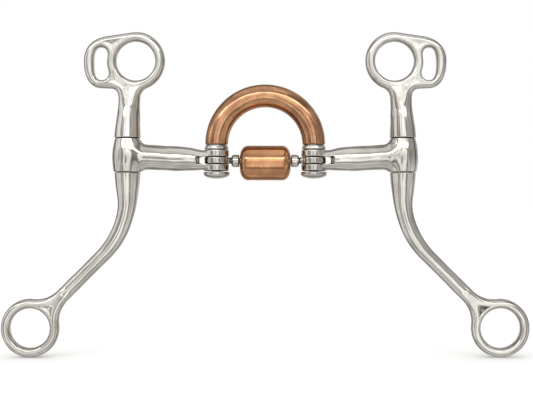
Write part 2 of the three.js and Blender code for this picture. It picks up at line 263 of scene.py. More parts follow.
def eased(knots):
    """A smooth curve through (x, value) knots that never overshoots them."""
    x, y = np.array(knots, float).T
    step = np.diff(x)
    slope = np.diff(y) / step
    tangent = np.concatenate([slope[:1], np.zeros(len(x) - 2), slope[-1:]])
    agree = slope[:-1] * slope[1:] > 0
    with np.errstate(divide="ignore", invalid="ignore"):
        middle = 2 * slope[:-1] * slope[1:] / (slope[:-1] + slope[1:])
    tangent[1:-1] = np.where(agree, middle, 0)

    def value(at):
        at = np.clip(at, x[0], x[-1])
        i = np.clip(np.searchsorted(x, at) - 1, 0, len(step) - 1)
        t = (at - x[i]) / step[i]
        rise = t * t * (3 - 2 * t)
        return (y[i] * (1 - rise) + y[i + 1] * rise
                + step[i] * (tangent[i] * t * (1 - t) ** 2 - tangent[i + 1] * t * t * (1 - t)))
    return value


# ---- fields: negative inside the metal, about zero on its skin --------------------------------

def smooth_min(a, b, blend):
    """The union of two fields, with a fillet about blend wide."""
    h = np.clip(0.5 + 0.5 * (b - a) / blend, 0, 1)
    return b * (1 - h) + a * h - blend * h * (1 - h)


def smooth_max(a, b, blend):
    """The overlap of two fields, with a rounded edge about blend wide."""
    return -smooth_min(-a, -b, blend)


def oval(u, v, half_u, half_v):
    """An elliptical bar."""
    return (np.hypot(u / half_u, v / half_v) - 1) * np.minimum(half_u, half_v)


def rounded_plate(y, half, edges):
    """A plate of that half thickness. edges are (depth inside an outline, width rounded off there)."""
    lean = sum(np.maximum(1 - depth / width, 0) ** 2.6 for depth, width in edges)
    return (np.sqrt(lean + (y / half) ** 2) - 1) * half


def hand_worked(x, y, z, depth):
    """The slight waviness that hand polishing leaves, in crossed waves 6 to 19 mm long."""
    return depth * (np.sin(0.62 * x + 1.1 * y + 0.4) * np.sin(0.47 * z + 0.9)
                    + np.sin(0.33 * x - 0.41 * z + 2.1) + 0.6 * np.sin(0.75 * z + 0.8 * y))


def bump(distance, crest, width):
    """1 at the crest, falling to 0 on both sides of it."""
    return np.exp(-((distance - crest) / width) ** 2)


CHEEK_OUTLINE = cheek_outline()
SLOT_OUTLINE = slot_outline()
REIN_OUTLINE = rein_outline()

# The cheek's neck: its centre line, and its half width and half depth, at heights above the bar.
NECK_CENTRE = eased([(11.6, 0), (16, -0.1), (21.8, -0.4), (27, -0.7), (32, -0.95), (37.5, -1)])
NECK_WIDTH = eased([(11.6, 6.8), (16, 6.5), (21.8, 5.9), (27, 5.25), (32, 4.95), (37.5, 4.4)])
NECK_DEPTH = eased([(11.6, 6.8), (16, 6.35), (21.8, 5.5), (27, 4.55), (32, 3.75), (37.5, 3.0)])
CHEEK_SINK = eased([(-31, 2.0), (-29, 2.0), (-18, 0), (-16, 0)])  # the plate thins out inside the neck


def cheek_field(web_half):
    """The upper cheek, about the swivel's axis, with webs of that half thickness beside the ring."""
    def field(x, y, z):
        u, v = x + HOLE_SET_IN, z - HOLE_Z
        to_edge = -outline_distance(u, v, CHEEK_OUTLINE)
        to_hole = np.hypot(u, v) - HOLE_R
        to_slot = outline_distance(u, v, SLOT_OUTLINE)
        flat = 1 - bump(to_hole, *HOLE_CREST)
        flat *= 1 - bump(to_slot, *STRAP_SLOT_CREST)
        flat *= 1 - bump(to_edge, *OUTER_CREST)
        half = CHEEK_HALF + (web_half - CHEEK_HALF) * flat - CHEEK_SINK(v)
        edges = [(to_edge, CHEEK_EDGE), (to_hole, HOLE_EDGE), (to_slot, STRAP_SLOT_EDGE)]
        plate = rounded_plate(y, half, edges)
        neck = oval(x - NECK_CENTRE(z), y, NECK_WIDTH(z), NECK_DEPTH(z))
        neck = smooth_max(neck, z - NECK_TOP, NECK_TOP_FILLET)
        solid = smooth_max(smooth_min(plate, neck, NECK_FILLET), CHEEK_BOTTOM - z, JOINT_EDGE)
        bore = np.hypot(x, y) - SPINDLE_R - GAP
        socket = smooth_max(bore, z - CHEEK_BOTTOM - SOCKET_DEPTH, BORE_EDGE)
        return smooth_max(solid, -socket, BORE_EDGE) + hand_worked(x, y, z, CHEEK_WAVE)
    return field


# The shank's half width and half depth, at distances down its centre line.
SHANK_WIDTH = eased([(0, 6.7), (5, 6.25), (10.5, 5.55), (15, 4.95), (20, 4.5), (25, 4.3), (35, 4.1),
                     (46, 3.7), (55, 3.6), (70, 3.65), (82, 3.75)])
SHANK_DEPTH = eased([(0, 6.7), (5, 6.1), (10.5, 5.2), (15, 4.55), (20, 4.1), (25, 3.8), (35, 3.5),
                     (46, 3.35), (55, 3.25), (70, 3.15), (82, 3.0)])

REIN_SINK = eased([(22, 0), (24, 0), (37, 1.8), (40, 1.8)])  # the plate thins out inside the shank


def along_shank(x, z):
    """Distance down the shank's centre line, and offset from it towards the bend's middle."""
    straight = SHANK_TOP - BEND_START_Z
    from_x, from_z = x - BEND_R, z - BEND_START_Z
    turn = np.arctan2(-from_z, -from_x)
    end_x = x - BEND_R * (1 - math.cos(BEND_ANGLE))
    end_z = z - BEND_START_Z + BEND_R * math.sin(BEND_ANGLE)
    past = end_x * math.sin(BEND_ANGLE) - end_z * math.cos(BEND_ANGLE)
    above, beyond = from_z > 0, past > 0
    distance = np.where(above, SHANK_TOP - z, np.where(
        beyond, straight + BEND_R * BEND_ANGLE + past, straight + BEND_R * turn))
    offset = np.where(above, x, np.where(
        beyond, end_x * math.cos(BEND_ANGLE) + end_z * math.sin(BEND_ANGLE),
        BEND_R - np.hypot(from_x, from_z)))
    return distance, offset


def shank_field(recess):
    """The lower shank, about the swivel's axis. recess is the depth of the hollow in its fork.

    The hollow is a triangle with soft walls, its apex up the shank and its foot along the ring's hole.
    """
    apex, foot, base = 17.6, 11.9, 9.5
    slant, softness, wall = math.radians(38), 0.2, 1.9
    past_ring = 5.0  # the centre line runs on beyond the ring, where there is no bar
    far_off = 9.0

    def field(x, y, z):
        distance, offset = along_shank(x, z)
        bar = oval(offset, y, SHANK_WIDTH(distance), SHANK_DEPTH(distance))
        out, up = x - REIN_SET_OUT, z - REIN_Z
        v = (up - out) / math.sqrt(2)
        u = (up + out) / math.sqrt(2)
        radius = np.hypot(u, v)
        to_edge = -outline_distance(u, v, REIN_OUTLINE)
        bar = smooth_max(bar, SHANK_END - v, SHANK_END_FILLET)
        bar = np.where((out < -past_ring) | (v > 0), bar, far_off)
        side = (apex - v) * math.sin(slant) - np.sqrt(u * u + softness) * math.cos(slant)
        hollow = np.clip(np.minimum(np.minimum(side, radius - foot), v - base) / wall, 0, 1)
        half = REIN_HALF - recess * hollow * hollow * (3 - 2 * hollow) - REIN_SINK(v)
        ring = rounded_plate(y, half, [(to_edge, REIN_EDGE), (radius - REIN_HOLE_R, REIN_HOLE_EDGE)])
        solid = smooth_max(smooth_min(bar, ring, REIN_FILLET), z - SHANK_TOP, JOINT_EDGE)
        bore = np.hypot(x, y) - SPINDLE_R - GAP
        socket = smooth_max(bore, SHANK_TOP - SOCKET_DEPTH - z, BORE_EDGE)
        return smooth_max(solid, -socket, BORE_EDGE) + hand_worked(x, y, z, SHANK_WAVE)
    return field


# The mouthpiece bar: the height of its centre line, and its half height and half depth, at distances
# out from the hinge pin. Then the sleeve's radius, at heights.
BAR_CENTRE = eased([(0, 0), (7.5, 0.2), (14, 0.7), (22, 1.0), (30, 1.4), (36, 1.7), (REACH, 2.2)])
BAR_HEIGHT = eased([(0, 4.6), (7.5, 5.2), (14, 6.0), (22, 6.4), (30, 6.4), (36, 6.5), (REACH, 6.8)])
BAR_DEPTH = eased([(0, 5.2), (7.5, 5.7), (14, 6.2), (22, 6.4), (30, 6.4), (36, 6.3), (REACH, 6.2)])
BARREL = eased([(SLEEVE_BOTTOM, 7.0), (-2.2, 7.6), (1.2, 7.8), (4.8, 7.6), (8.2, 7.1),
                (SLEEVE_TOP, 6.5)])


def cannon_field(x, y, z):
    """Fork, mouthpiece bar and sleeve in one casting, about the hinge pin."""
    bar = oval(y, z - BAR_CENTRE(x), BAR_DEPTH(x), BAR_HEIGHT(x))
    bar = smooth_max(bar, x - REACH, BAR_END_EDGE)
    bar = smooth_max(bar, -x, BAR_END_EDGE)
    barrel = np.hypot(x - REACH, y) - BARREL(z)
    solid = smooth_min(bar, barrel, SLEEVE_FILLET)
    solid = smooth_max(solid, np.maximum(z - SLEEVE_TOP, SLEEVE_BOTTOM - z), JOINT_EDGE)
    ears = smooth_max(np.hypot(x, y) - EAR_R, np.abs(z) - EAR_OUTER_Z, EAR_EDGE)
    solid = smooth_min(solid, ears, EAR_FILLET) + hand_worked(x, y, z, CANNON_WAVE)
    depth = np.clip(x - EYE_R - 1, 0, 1) * (BAR_DEPTH(x) - np.abs(y))
    side = np.abs(z) - SLOT_HALF + SLOT_SIDE_DRAFT * depth
    slot = np.maximum(side, x - SLOT_REACH + SLOT_END_DRAFT * depth)
    solid = smooth_max(solid, -slot, FORK_SLOT_EDGE)
    solid = smooth_max(solid, PIN_R + GAP - np.hypot(x, y), BORE_EDGE)
    return smooth_max(solid, SPINDLE_R + GAP - np.hypot(x - REACH, y), SLEEVE_BORE_EDGE)


def eye_field(x, y, z):
    """A forged eye on the hinge pin, with its neck running inboard to the axle."""
    overlap, sunk, end_edge = 2.0, 0.02, 0.2  # the neck starts in the disc, just under its faces
    disc = smooth_max(np.hypot(x, y) - EYE_R, np.abs(z) - EYE_HALF, EYE_EDGE)
    radius = BAR_R + EYE_FLARE * np.clip(1 - (-x - EYE_R) / EYE_FLARE_LENGTH, 0, 1) ** 2
    neck = np.hypot(y, z - BAR_Z) - radius
    neck = smooth_max(neck, np.maximum(EYE_LOW[0] - HINGE_X - x, x + EYE_R - overlap), end_edge)
    neck = smooth_max(neck, np.abs(z) - EYE_HALF + sunk, EYE_NECK_EDGE)
    solid = smooth_min(disc, neck, EYE_NECK_EDGE)
    return smooth_max(solid, PIN_R + GAP - np.hypot(x, y), BORE_EDGE)


# ---- meshes -----------------------------------------------------------------------------------

def skin(field, low, high, cell):
    """The zero surface of a field between two corners, as vertices, quads and normals.

    Each cell that the surface passes through holds one vertex, and each crossed edge of the grid
    makes one quad from the four cells round it.
    """
    axes = [np.arange(a, b + cell, cell) for a, b in zip(low, high)]
    values = np.array(np.broadcast_to(field(*np.ix_(*axes)), [len(a) for a in axes]))
    shape = np.array(values.shape) - 1
    inside = values < 0
    total = np.zeros((shape.prod(), 3))
    count = np.zeros(shape.prod())
    rings = []
    for a in range(3):
        b, c = (a + 1) % 3, (a + 2) % 3
        near = np.take(inside, range(shape[a]), axis=a)
        far = np.take(inside, range(1, shape[a] + 1), axis=a)
        where = np.argwhere(near != far)
        ahead = where.copy()
        ahead[:, a] += 1
        first, second = values[tuple(where.T)], values[tuple(ahead.T)]
        point = where.astype(float)
        point[:, a] += first / (first - second)
        ring = []
        for step_b, step_c in ((0, 0), (-1, 0), (-1, -1), (0, -1)):
            cells = where.copy()
            cells[:, b] += step_b
            cells[:, c] += step_c
            flat = np.ravel_multi_index(tuple(cells.T), shape)
            for k in range(3):
                total[:, k] += np.bincount(flat, point[:, k], len(total))
            count += np.bincount(flat, minlength=len(count))
            ring.append(flat)
        ring = np.column_stack(ring)
        backwards = first > 0
        ring[backwards] = ring[backwards][:, ::-1]
        rings.append(ring)
    used = np.flatnonzero(count)
    number = np.zeros(len(count), int)
    number[used] = np.arange(len(used))
    points = np.array(low) + cell * total[used] / count[used, None]
    quads = number[np.vstack(rings)]
    for strength in RELAXING:
        points = relaxed(points, quads, strength)
        points = settled(field, points, cell)
    points = settled(field, points, cell)
    steepest = slope(field, points, NORMAL_STEP)
    return points, quads, steepest / np.linalg.norm(steepest, axis=1)[:, None]


def relaxed(points, quads, strength):
    """Each point moved towards the middle of its neighbours."""
    total = np.zeros_like(points)
    count = np.zeros(len(points))
    for i in range(4):
        for j in (1, 3):
            start, end = quads[:, i], quads[:, (i + j) % 4]
            for k in range(3):
                total[:, k] += np.bincount(start, points[end, k], len(points))
            count += np.bincount(start, minlength=len(points))
    return points + strength * (total / count[:, None] - points)


def slope(field, points, step):
    """How fast a field rises at points, along each axis."""
    x, y, z = points.T
    return np.column_stack([
        field(x + step, y, z) - field(x - step, y, z),
        field(x, y + step, z) - field(x, y - step, z),
        field(x, y, z + step) - field(x, y, z - step),
    ]) / (2 * step)


def settled(field, points, cell):
    """Points moved along the field's slope onto its zero surface."""
    value = field(*points.T)
    steepest = slope(field, points, SETTLE_STEP)
    move = steepest * (value / np.maximum((steepest ** 2).sum(1), 0.05))[:, None]
    length = np.linalg.norm(move, axis=1)
    return points - move * np.minimum(1, 0.5 * cell / np.maximum(length, 1e-9))[:, None]


def filleted(corners):
    """A profile of (radius, z) points from (radius, z, rounding) corners."""
    points = []
    for i, (r, z, rounding) in enumerate(corners):
        here = np.array([r, z])
        if not rounding or i in (0, len(corners) - 1):
            points.append(here)
            continue
        before = np.array(corners[i - 1][:2]) - here
        after = np.array(corners[i + 1][:2]) - here
        before /= np.linalg.norm(before)
        after /= np.linalg.norm(after)
        half = math.acos(np.clip(before @ after, -1, 1)) / 2
        centre = here + (before + after) / np.linalg.norm(before + after) * rounding / math.sin(half)
        first = here + before * rounding / math.tan(half) - centre
        last = here + after * rounding / math.tan(half) - centre
        for t in np.linspace(0, 1, ARC_STEPS + 1):
            swung = first * (1 - t) + last * t
            points.append(centre + swung / np.linalg.norm(swung) * rounding)
    return points


def turned(profile, sides=TURNED_SIDES):
    """A profile of (radius, z) points that runs upwards outside the metal, turned about Z."""
    points, faces, rows = [], [], []
    angles = 2 * np.pi * np.arange(sides) / sides
    for r, z in profile:
        if r < 1e-6:
            rows.append([len(points)] * sides)
            points.append((0, 0, z))
        else:
            rows.append(list(range(len(points), len(points) + sides)))
            points.extend(zip(r * np.cos(angles), r * np.sin(angles), [z] * sides))
    for low, high in zip(rows, rows[1:]):
        for i in range(sides):
            j = (i + 1) % sides
            face = [low[i], low[j], high[j], high[i]]
            faces.append(list(dict.fromkeys(face)))
    return np.array(points, float), faces


def closed(profile):
    """A ring-shaped profile, joined back to its own first point."""
    return [*profile, profile[0]]


def dented(points, depth):
    """Turned points with the slight unevenness of hand work, inwards only."""
    x, y, z = points.T
    wave = hand_worked(2.3 * x, 2.3 * y, 1.6 * z + 0.7 * x, depth) / (2.7 * depth)
    return points * (1 - depth / 5 * (0.5 + 0.5 * wave))[:, None] ** (1, 1, 0)


def welded(points, faces):
    """The same mesh with points that share a place joined."""
    keys, number = np.unique(np.round(points, 5), axis=0, return_inverse=True)
    first = np.full(len(keys), -1)
    for i, k in enumerate(number.ravel()):
        if first[k] < 0:
            first[k] = i
    faces = [[number.ravel()[i] for i in face] for face in faces]
    return points[first], [f for f in faces if len(set(f)) == len(f)]


def lengthwise(points):
    """Points about Z laid along X."""
    return points[:, [2, 1, 0]] * (1, -1, 1)


# ---- nodes ------------------------------------------------------------------------------------

class Nodes:
    """A node tree, with short calls for the nodes that the finishes and the studio use."""

    def __init__(self, tree):
        self.tree = tree

    def node(self, kind, inputs=None, **settings):
        """A new node. An input is a value, or another node's output to link to."""
        made = self.tree.nodes.new("ShaderNode" + kind)
        for name, value in settings.items():
            setattr(made, name, value)
        for name, value in (inputs or {}).items():
            if isinstance(value, bpy.types.NodeSocket):
                self.tree.links.new(value, made.inputs[name])
            else:
                made.inputs[name].default_value = value
        return made

    def noise(self, where, scale, detail=3.0, roughness=0.5):
        inputs = {"Vector": where, "Scale": scale, "Detail": detail, "Roughness": roughness}
        return self.node("TexNoise", inputs).outputs["Fac"]

    def stretched(self, where, factors):
        return self.node("Mapping", {"Vector": where, "Scale": factors}).outputs["Vector"]

    def remap(self, value, low, high, to_low=0.0, to_high=1.0):
        inputs = {"Value": value, "From Min": low, "From Max": high,
                  "To Min": to_low, "To Max": to_high}
        return self.node("MapRange", inputs, interpolation_type="SMOOTHSTEP").outputs["Result"]

    def maths(self, operation, first, second):
        return self.node("Math", {0: first, 1: second}, operation=operation).outputs[0]

    def mix(self, factor, first, second):
        made = self.node("Mix", data_type="RGBA")
        sockets = made.inputs[0], made.inputs[6], made.inputs[7]  # the factor and the two colours
        for socket, value in zip(sockets, (factor, first, second)):
            if isinstance(value, bpy.types.NodeSocket):
                self.tree.links.new(value, socket)
            else:
                socket.default_value = value
        return made.outputs[2]

    def attribute(self, name):
        return self.node("Attribute", attribute_name=name).outputs["Fac"]


# Features per metre in each layer of a finish.
PATCHES, DENTS, SMEARS, MARKS, SPECKS, PITS = 75, 230, 330, 1000, 1500, 2600


def metal(name, bright, dull, grime_and_shade, roughness, haze, grain, grain_depth, dents, spots):
    """A polished metal: bright and dull patches, hazed gloss, polishing marks, dirt and painted shade
    in the hollows and seams.

    grain stretches the polishing marks. grain_depth and dents are heights in metres. spots is how
    spotted it is, 0 to 1.
    """
    material = bpy.data.materials.new(name)
    material.use_nodes = True
    nodes = Nodes(material.node_tree)
    shader = material.node_tree.nodes["Principled BSDF"]
    where = nodes.node("TexCoord").outputs["Object"]
    bend = nodes.attribute("bend")

    patches = nodes.remap(nodes.noise(where, PATCHES, 5, 0.6), 0.36, 0.66)
    smears = nodes.remap(nodes.noise(where, SMEARS, 4, 0.65), 0.42, 0.7)
    speckle = nodes.noise(where, SPECKS, 2, 0.5)
    specks = nodes.remap(speckle, 0.66 - 0.08 * spots, 0.74 - 0.06 * spots)
    marks = nodes.noise(nodes.stretched(where, grain), MARKS, 3, 0.6)
    pits = nodes.noise(where, PITS, 2, 0.5)
    # How closed in by metal each point is: the seams, bores and slots, where painted shade goes.
    enclosed = nodes.remap(nodes.attribute("gap"), 0.13, 0.55)
    hollow = nodes.maths("MAXIMUM", nodes.remap(bend, -0.12, -0.8), enclosed)
    rubbed = nodes.remap(bend, 0.5, 1.8)

    colour = nodes.mix(patches, (*dull, 1), (*bright, 1))
    colour = nodes.mix(nodes.maths("MULTIPLY", smears, 0.3), colour, (*dull, 1))
    colour = nodes.mix(nodes.maths("MULTIPLY", specks, 0.55 * spots), colour, (*grime_and_shade, 1))
    # Painted shade, partly dirt: creases and seams darkened towards the grime colour.
    colour = nodes.mix(nodes.maths("MULTIPLY", hollow, 0.9), colour, (*grime_and_shade, 1))
    colour = nodes.mix(nodes.maths("MULTIPLY", rubbed, 0.35), colour, (*bright, 1))
    gloss = nodes.remap(smears, 0, 1, roughness, roughness + haze)
    gloss = nodes.maths("ADD", gloss, nodes.maths("MULTIPLY", hollow, 0.22))
    gloss = nodes.maths("SUBTRACT", gloss, nodes.maths("MULTIPLY", rubbed, roughness * 0.4))
    fine = nodes.maths("ADD", nodes.maths("MULTIPLY", marks, 0.7), nodes.maths("MULTIPLY", pits, 0.3))
    waves = nodes.node("Bump", {"Height": nodes.noise(where, DENTS, 2, 0.4), "Strength": 0.5,
                                "Distance": dents})
    relief = nodes.node("Bump", {"Height": fine, "Strength": 0.35, "Distance": grain_depth,
                                 "Normal": waves.outputs["Normal"]})

    links = material.node_tree.links
    links.new(colour, shader.inputs["Base Color"])
    links.new(gloss, shader.inputs["Roughness"])
    links.new(relief.outputs["Normal"], shader.inputs["Normal"])
    shader.inputs["Metallic"].default_value = 1.0
    return material


# Dark colours for tarnish specks, and for the dirt and painted shade in the hollows and seams.
STEEL_GRIME_AND_SHADE = (0.09, 0.078, 0.062)
COPPER_GRIME_AND_SHADE = (0.11, 0.055, 0.034)
UPRIGHT = (1.0, 1.0, 0.08)  # polishing marks that run up and down
CROSSWISE = (0.08, 1.0, 1.0)  # and from side to side
ARCHING = (0.3, 1, 0.3)
LEVEL_TURNS = (1, 1, 6)
EVEN = (1, 1, 1)

MATERIALS = {
    "cheek_steel": metal(
        "cheek_steel", (0.68, 0.673, 0.652), (0.57, 0.56, 0.532), STEEL_GRIME_AND_SHADE,
        roughness=0.06, haze=0.07, grain=UPRIGHT, grain_depth=2.5e-6, dents=2e-5, spots=0.12),
    "shank_steel": metal(
        "shank_steel", (0.66, 0.653, 0.632), (0.54, 0.53, 0.50), STEEL_GRIME_AND_SHADE,
        roughness=0.06, haze=0.08, grain=UPRIGHT, grain_depth=3e-6, dents=2e-5, spots=0.15),
    "cannon_steel": metal(
        "cannon_steel", (0.66, 0.65, 0.622), (0.52, 0.507, 0.477), STEEL_GRIME_AND_SHADE,
        roughness=0.06, haze=0.08, grain=CROSSWISE, grain_depth=2.5e-6, dents=6e-5, spots=0.15),
    "hinge_steel": metal(
        "hinge_steel", (0.72, 0.707, 0.678), (0.46, 0.442, 0.41), STEEL_GRIME_AND_SHADE,
        roughness=0.07, haze=0.10, grain=LEVEL_TURNS, grain_depth=4e-6, dents=3e-4, spots=0.6),
    "pin_steel": metal(
        "pin_steel", (0.68, 0.672, 0.652), (0.50, 0.49, 0.47), STEEL_GRIME_AND_SHADE,
        roughness=0.2, haze=0.14, grain=EVEN, grain_depth=6e-6, dents=1e-4, spots=0.5),
    "port_copper": metal(
        "port_copper", (0.66, 0.36, 0.195), (0.40, 0.205, 0.12), COPPER_GRIME_AND_SHADE,
        roughness=0.10, haze=0.16, grain=ARCHING, grain_depth=3e-6, dents=5e-5, spots=0.45),
    "roller_copper": metal(
        "roller_copper", (0.64, 0.335, 0.17), (0.42, 0.205, 0.11), COPPER_GRIME_AND_SHADE,
        roughness=0.09, haze=0.13, grain=CROSSWISE, grain_depth=3e-6, dents=4e-5, spots=0.3),
}


# ---- pieces -----------------------------------------------------------------------------------

def edge_ends(mesh):
    """The two vertices of each edge, each edge taken both ways."""
    edges = np.zeros(len(mesh.edges) * 2, int)
    mesh.edges.foreach_get("vertices", edges)
    a, b = edges.reshape(-1, 2).T
    return np.concatenate([a, b]), np.concatenate([b, a])


def evened(values, start, end, rounds):
    """Values at vertices, averaged with their neighbours' that many times."""
    count = len(values)
    degree = np.maximum(np.bincount(start, minlength=count), 1)
    for _ in range(rounds):
        values = 0.5 * values + 0.5 * np.bincount(start, values[end], count) / degree
    return values.astype(np.float32)


def mark_bend(mesh):
    """Writes how sharply the skin bends at each vertex, in 1/mm, above 0 where it bulges."""
    count = len(mesh.vertices)
    points = np.zeros(count * 3)
    normals = np.zeros(count * 3)
    mesh.vertices.foreach_get("co", points)
    mesh.vertices.foreach_get("normal", normals)
    points = points.reshape(-1, 3) / MM
    normals = normals.reshape(-1, 3)
    start, end = edge_ends(mesh)
    rise = ((points[start] - points[end]) * normals[start]).sum(1)
    length = ((points[start] - points[end]) ** 2).sum(1)
    degree = np.maximum(np.bincount(start, minlength=count), 1)
    bend = np.bincount(start, 2 * rise / np.maximum(length, 1e-3), count) / degree
    mesh.attributes.new("bend", "FLOAT", "POINT").data.foreach_set("value", evened(bend, start, end, 3))


def paint_seam_shade(pieces):
    """Writes at each vertex how closed in it is by metal, 0 to 1, for the shade painted, with some
    dirt, into the seams, bores and slots.
    """
    reach, lift = 8 * MM, 0.02 * MM  # how far it looks, and from how far above the skin
    corners, faces = [], []
    for made in pieces:
        start = len(corners)
        corners.extend(v.co for v in made.data.vertices)
        faces.extend([start + i for i in f.vertices] for f in made.data.polygons)
    tree = BVHTree.FromPolygons(corners, faces)
    for made in pieces:
        closeness = []
        for vertex in made.data.vertices:
            normal = vertex.normal
            side = normal.orthogonal()
            other = normal.cross(side)
            start = vertex.co + normal * lift
            total = 0
            for lean in (normal, normal + side, normal - side, normal + other, normal - other):
                distance = tree.ray_cast(start, lean.normalized(), reach)[3]
                if distance is not None:
                    total += 1 - distance / reach
            closeness.append(total / 5)
        start, end = edge_ends(made.data)
        spread = evened(np.array(closeness), start, end, 3)
        made.data.attributes.new("gap", "FLOAT", "POINT").data.foreach_set("value", spread)


def piece(name, points, faces, normals, node, body, slot):
    """Adds one piece, from points in millimetres. normals are None where the faces settle them."""
    mesh = bpy.data.meshes.new(name)
    mesh.from_pydata((points * MM).tolist(), [], [list(map(int, f)) for f in faces])
    mesh.validate()
    mesh.shade_smooth()
    mark_bend(mesh)
    mesh.materials.append(MATERIALS[slot])
    made = bpy.data.objects.new(name, mesh)
    bpy.context.scene.collection.objects.link(made)
    if normals is None:
        made.modifiers.new("even_normals", "WEIGHTED_NORMAL").mode = "FACE_AREA"
    else:
        mesh.normals_split_custom_set_from_vertices(normals.tolist())
    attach(made, body)
    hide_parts(node)
    return made


def port():
    """Half a circle of round bar. Its skin bends round the arch, and its two pin bores are straight."""
    arch_r = HINGE_X
    foot_z = PORT_LOW[2]
    bore = PIN_R + GAP
    length = math.pi * arch_r
    steps = 140
    foot_edge, first_row = 0.45, 1.2
    edge = filleted([(bore, 0, 0), (PORT_BAR_R, 0, foot_edge), (PORT_BAR_R, length, 0)])[:-1]
    middle = [(PORT_BAR_R, s) for s in np.linspace(first_row, length - first_row, steps)]
    skin_profile = [*edge, *middle, *[(r, length - z) for r, z in reversed(edge)]]
    near = [(0, PORT_PIN_DEPTH), (bore, PORT_PIN_DEPTH)]
    far = [(bore, length - PORT_PIN_DEPTH), (0, length - PORT_PIN_DEPTH)]
    points, faces = turned([*near, *skin_profile, *far])
    radius = np.hypot(points[:, 0], points[:, 1])
    angle = np.pi * (1 - points[:, 2] / length)
    out = arch_r - points[:, 0]
    bent = np.column_stack([out * np.cos(angle), points[:, 1], foot_z + out * np.sin(angle)])
    left_foot = points[:, 2] < length / 2
    straight = np.column_stack([
        np.where(left_foot, points[:, 0] - arch_r, arch_r - points[:, 0]),
        points[:, 1],
        foot_z + np.where(left_foot, points[:, 2], length - points[:, 2]),
    ])
    in_bore = radius < bore + 1e-6
    return np.where(in_bore[:, None], straight, bent), faces


def roller():
    """A barrel with rounded shoulders and a loose bore, along X."""
    half = (ROLLER_HIGH[0] - ROLLER_LOW[0]) / 2
    big = (ROLLER_HIGH[1] - ROLLER_LOW[1]) / 2
    small, shoulder, bore, rim = 3.3, 4.3, 2.77, 0.35
    turns = np.linspace(0, np.pi / 2, 14)
    lower = [(small + (big - small) * math.sin(t), -half + shoulder * (1 - math.cos(t))) for t in turns]
    body = [(big, s) for s in np.linspace(-half + shoulder, half - shoulder, 12)[1:-1]]
    inside = [(bore, s) for s in np.linspace(half - rim, -half + rim, 6)]
    upper = [(r, -s) for r, s in reversed(lower)]
    profile = [(bore + rim, -half), *lower, *body, *upper, (bore + rim, half), *inside]
    points, faces = welded(*turned(closed(profile)))
    points = lengthwise(points)
    points[:, 2] += (ROLLER_HIGH[2] + ROLLER_LOW[2]) / 2
    return points, faces


def axle():
    """The plain rod through the roller, along X."""
    half = (AXLE_HIGH[0] - AXLE_LOW[0]) / 2
    profile = filleted([(0, -half, 0), (BAR_R, -half, 0.2), (BAR_R, half, 0.2), (0, half, 0)])
    points, faces = turned(profile, 48)
    points = lengthwise(points)
    points[:, 2] += BAR_Z
    return points, faces


def axle_stop():
    """The collar that keeps the roller off the hinge, with a heavier chamfer on its outboard end."""
    inner, outer, big = STOP_LOW[0], STOP_HIGH[0], (STOP_HIGH[1] - STOP_LOW[1]) / 2
    bore = BAR_R + GAP
    profile = filleted([
        (bore, inner, 0), (big - 0.4, inner, 0.15), (big, inner + 0.4, 0.15),
        (big, outer - 0.9, 0.25), (big - 0.9, outer, 0.25), (bore, outer, 0),
    ])
    points, faces = welded(*turned(closed(profile), 72))
    points = lengthwise(points)
    points[:, 2] += BAR_Z
    return points, faces


def washer():
    """The bevelled collar under the port's foot, about the hinge pin."""
    low, high = WASHER_LOW[2], WASHER_HIGH[2]
    big = (WASHER_HIGH[0] - WASHER_LOW[0]) / 2
    bore = PIN_R + GAP
    profile = filleted([
        (bore, low, 0), (big - 0.3, low, 0.12), (big, low + 0.45, 0.15),
        (big - 0.22, low + 1.25, 0.3), (big - 0.75, high, 0.18), (bore, high, 0),
    ])
    points, faces = welded(*turned(closed(profile)))
    return dented(points, WASHER_WAVE), faces


def hinge_pin():
    """A shank and a domed head in one piece, about its own axis."""
    head_r = (PIN_HIGH[0] - PIN_LOW[0]) / 2
    head_z = -EAR_OUTER_Z - PIN_HEAD_GAP
    bottom, top = PIN_LOW[2], PIN_HIGH[2]
    rim_z = head_z - PIN_HEAD_RIM
    turns = np.linspace(0, np.pi / 2, 22)
    dome = [(head_r * math.sin(t), rim_z - (rim_z - bottom) * math.cos(t)) for t in turns]
    neck = filleted([
        (head_r, rim_z, 0), (head_r, head_z, 0.35), (PIN_R, head_z, 0.2), (PIN_R, top, 0.4),
        (0, top, 0),
    ])[1:]
    return turned([*dome, *neck])


def spindle():
    """The plain pin hidden in the sleeve, fixed in the cheek above and the shank below."""
    low, high = SPINDLE_LOW[2], SPINDLE_HIGH[2]
    return turned(filleted([
        (0, low, 0), (SPINDLE_R, low, 0.5), (SPINDLE_R, high, 0.5), (0, high, 0),
    ]), 64)


# For each side: 1, or -1 where the shapes are turned half round; the depth of the hollow in the
# shank's fork; and half the thickness of the cheek's webs.
SIDES = {"right": (1, 1.5, 2.95), "left": (-1, 0.35, 2.75)}


